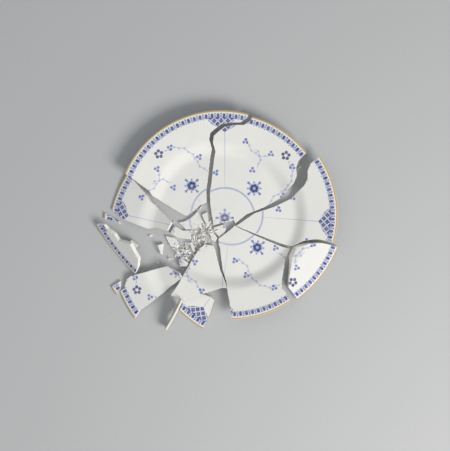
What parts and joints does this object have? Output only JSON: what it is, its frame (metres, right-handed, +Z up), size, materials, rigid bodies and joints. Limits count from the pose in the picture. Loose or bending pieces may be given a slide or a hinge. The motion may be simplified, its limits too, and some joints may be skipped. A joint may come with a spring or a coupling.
{
  "type": "broken plate",
  "caption": "Round porcelain dinner plate broken into pieces, which lie spread on a floor close to where they belong.",
  "frame": {"origin": "on the floor that the pieces lie on, at the middle of the box round the whole spread of pieces", "axes": "+Z is up, +Y is toward the top of the plate and +X is toward its right, seen from above"},
  "size_m": [0.2904, 0.2626, 0.0282],
  "materials": {
    "glazed_porcelain": "clear glaze over white porcelain with blue painted decoration and a gold rim line",
    "bare_porcelain": "bare white fracture surfaces, matt"
  },
  "bodies": {
    "root": {"shard_upper_left": "glazed_porcelain", "shard_centre_top": "glazed_porcelain", "shard_right": "glazed_porcelain", "shard_rim_right": "glazed_porcelain", "shard_lower_right": "glazed_porcelain", "shard_left": "glazed_porcelain", "shard_rim_left": "glazed_porcelain", "sliver_rim_left": "glazed_porcelain", "chip_rim_left": "glazed_porcelain", "shard_lower_left": "glazed_porcelain", "shard_well_bottom": "glazed_porcelain", "shard_rim_bottom": "glazed_porcelain", "shard_rim_edge": "glazed_porcelain", "shard_centre_left": "glazed_porcelain", "shard_centre_low": "glazed_porcelain", "shard_centre_tooth": "glazed_porcelain", "shard_centre_right": "glazed_porcelain", "shard_centre_wedge": "glazed_porcelain", "shard_crushed_leaf": "glazed_porcelain", "shard_crushed_tooth": "glazed_porcelain", "shard_crushed_blade": "glazed_porcelain", "shard_crushed_hook": "glazed_porcelain", "shard_crushed_needle": "glazed_porcelain", "shard_crushed_flake": "glazed_porcelain", "shard_cove_small": "glazed_porcelain", "chip_01": "bare_porcelain", "chip_02": "bare_porcelain", "chip_03": "bare_porcelain", "chip_04": "bare_porcelain", "chip_05": "bare_porcelain", "chip_06": "bare_porcelain", "chip_07": "bare_porcelain", "chip_08": "bare_porcelain", "chip_09": "bare_porcelain", "chip_10": "bare_porcelain", "chip_11": "bare_porcelain", "chip_12": "bare_porcelain", "chip_13": "bare_porcelain", "chip_14": "bare_porcelain", "chip_15": "bare_porcelain", "chip_16": "bare_porcelain"}
  },
  "joints": []
}
